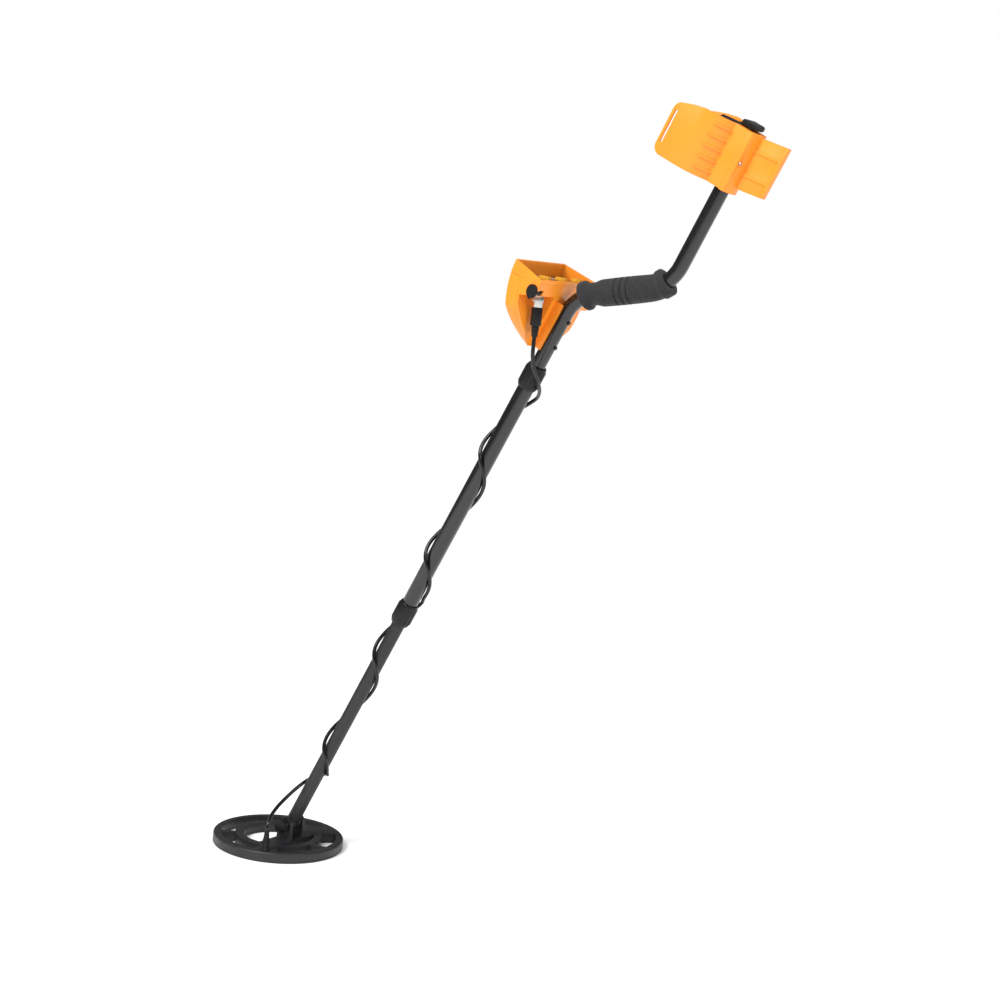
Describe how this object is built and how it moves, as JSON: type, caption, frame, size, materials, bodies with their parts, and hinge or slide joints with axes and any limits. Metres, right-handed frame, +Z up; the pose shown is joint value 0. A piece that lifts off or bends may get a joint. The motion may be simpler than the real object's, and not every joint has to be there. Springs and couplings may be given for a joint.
{
  "type": "metal detector",
  "caption": "Hand-held metal detector with a round search coil, telescopic S-bent shaft, control box, foam grip and arm cuff.",
  "frame": {"origin": "middle of the hand grip, on the tube's axis", "axes": "+X forward to the search coil, +Y to the user's left, +Z up with the coil lying level"},
  "size_m": [0.8661, 0.21, 1.2042],
  "materials": {
    "gloss_black_tube": "gloss",
    "orange_shell": "satin",
    "black_plastic": "satin",
    "dark_plastic": "matte",
    "foam": "matte",
    "black_rubber": "matte",
    "cable_jacket": "gloss",
    "black_steel": "satin",
    "zinc": "satin",
    "nickel": "satin",
    "panel_brown": "gloss",
    "green_board": "satin",
    "speaker_black": "matte",
    "dial_white": "matte",
    "clear_window": "gloss",
    "needle_red": "matte",
    "battery_case": "satin",
    "golden_knob": "gloss",
    "button_red": "satin",
    "webbing": "matte",
    "copper": "gloss"
  },
  "bodies": {
    "frame": {"s_tube": "gloss_black_tube", "tube_end_plug": "black_plastic", "foam_grip": "foam", "box_housing": "orange_shell", "box_bezel": "orange_shell", "control_panel": "panel_brown", "circuit_board": "green_board", "loudspeaker": "speaker_black", "meter_case": "dial_white", "meter_window": "clear_window", "batteries": "battery_case", "battery_clips": "black_plastic", "coil_socket": "nickel", "headphone_jack": "black_plastic", "box_bolts": "black_steel", "box_nuts": "zinc", "case_screws": "zinc", "tube_saddle": "orange_shell", "potentiometers": "zinc", "arm_cuff": "orange_shell", "arm_stand": "orange_shell", "stand_screws": "zinc", "arm_strap": "webbing", "plug_body": "black_plastic", "plug_boot": "black_rubber", "cable_upper": "cable_jacket"},
    "battery_cover": {"battery_cover": "orange_shell"},
    "jack_cap": {"jack_cap": "black_rubber"},
    "meter_needle": {"meter_needle": "needle_red"},
    "knob_volume": {"knob_volume": "golden_knob"},
    "knob_sensitivity": {"knob_sensitivity": "golden_knob"},
    "knob_discrimination": {"knob_discrimination": "golden_knob"},
    "power_button": {"power_button": "button_red"},
    "plug_nut": {"plug_nut": "nickel"},
    "middle_shaft": {"middle_tube": "gloss_black_tube", "upper_collet": "dark_plastic", "lower_collet": "dark_plastic", "cable_middle": "cable_jacket"},
    "upper_collar": {"upper_collar": "black_plastic"},
    "lower_collar": {"lower_collar": "black_plastic"},
    "lower_shaft": {"lower_tube": "dark_plastic", "tilt_washers": "black_rubber", "cable_lower": "cable_jacket"},
    "coil": {"coil_top": "dark_plastic", "coil_base": "dark_plastic", "transmit_winding": "copper", "receive_winding": "copper", "coil_gland": "black_rubber", "tilt_bolt": "black_plastic", "cable_tail": "cable_jacket"},
    "tilt_knob": {"tilt_knob": "black_plastic"}
  },
  "joints": [
    {"name": "upper_slide", "type": "slide", "parent": "frame", "child": "middle_shaft", "axis": [0.4337, 0, -0.9011], "range_m": [0, 0.1], "deforming": ["cable_upper"]},
    {"name": "lower_slide", "type": "slide", "parent": "middle_shaft", "child": "lower_shaft", "axis": [-0.4337, 0, 0.9011], "range_m": [0, 0.2], "deforming": ["cable_lower"]},
    {"name": "coil_tilt", "type": "hinge", "parent": "lower_shaft", "child": "coil", "pos_m": [0.50335, 0, -0.90223], "axis": [0, 1, 0], "range_deg": [-45, 55], "deforming": ["cable_tail"]},
    {"name": "tilt_knob_turn", "type": "hinge", "parent": "coil", "child": "tilt_knob", "pos_m": [0.50335, 0, -0.90223], "axis": [0, 1, 0], "range_deg": [0, 360]},
    {"name": "upper_lock_turn", "type": "hinge", "parent": "middle_shaft", "child": "upper_collar", "pos_m": [0.14341, 0, -0.15434], "axis": [-0.4337, 0, 0.9011], "range_deg": [0, 120]},
    {"name": "lower_lock_turn", "type": "hinge", "parent": "middle_shaft", "child": "lower_collar", "pos_m": [0.32945, 0, -0.5409], "axis": [-0.4337, 0, 0.9011], "range_deg": [0, 120]},
    {"name": "battery_cover_slide", "type": "slide", "parent": "frame", "child": "battery_cover", "axis": [1, 0, 0], "range_m": [0, 0.03]},
    {"name": "jack_cap_hinge", "type": "hinge", "parent": "frame", "child": "jack_cap", "pos_m": [0.10277, 0.08202, -0.02352], "axis": [-0.869, 0.2644, -0.4182], "range_deg": [0, 85]},
    {"name": "needle_swing", "type": "hinge", "parent": "frame", "child": "meter_needle", "pos_m": [0.11912, 0, 0.00657], "axis": [-0.1205, 0, 0.9927], "range_deg": [-40, 40]},
    {"name": "volume_turn", "type": "hinge", "parent": "frame", "child": "knob_volume", "pos_m": [0.10324, 0.044, 0.00464], "axis": [-0.1205, 0, 0.9927], "range_deg": [0, 300]},
    {"name": "sensitivity_turn", "type": "hinge", "parent": "frame", "child": "knob_sensitivity", "pos_m": [0.10324, 0, 0.00464], "axis": [-0.1205, 0, 0.9927], "range_deg": [0, 300]},
    {"name": "discrimination_turn", "type": "hinge", "parent": "frame", "child": "knob_discrimination", "pos_m": [0.10324, -0.044, 0.00464], "axis": [-0.1205, 0, 0.9927], "range_deg": [0, 300]},
    {"name": "power_press", "type": "slide", "parent": "frame", "child": "power_button", "axis": [0.1205, 0, -0.9927], "range_m": [0, 0.0015], "stiffness_N_per_m": 600},
    {"name": "plug_nut_turn", "type": "hinge", "parent": "frame", "child": "plug_nut", "pos_m": [0.107, 0.05, -0.019], "axis": [0, 0, 1], "range_deg": [0, 360]}
  ]
}
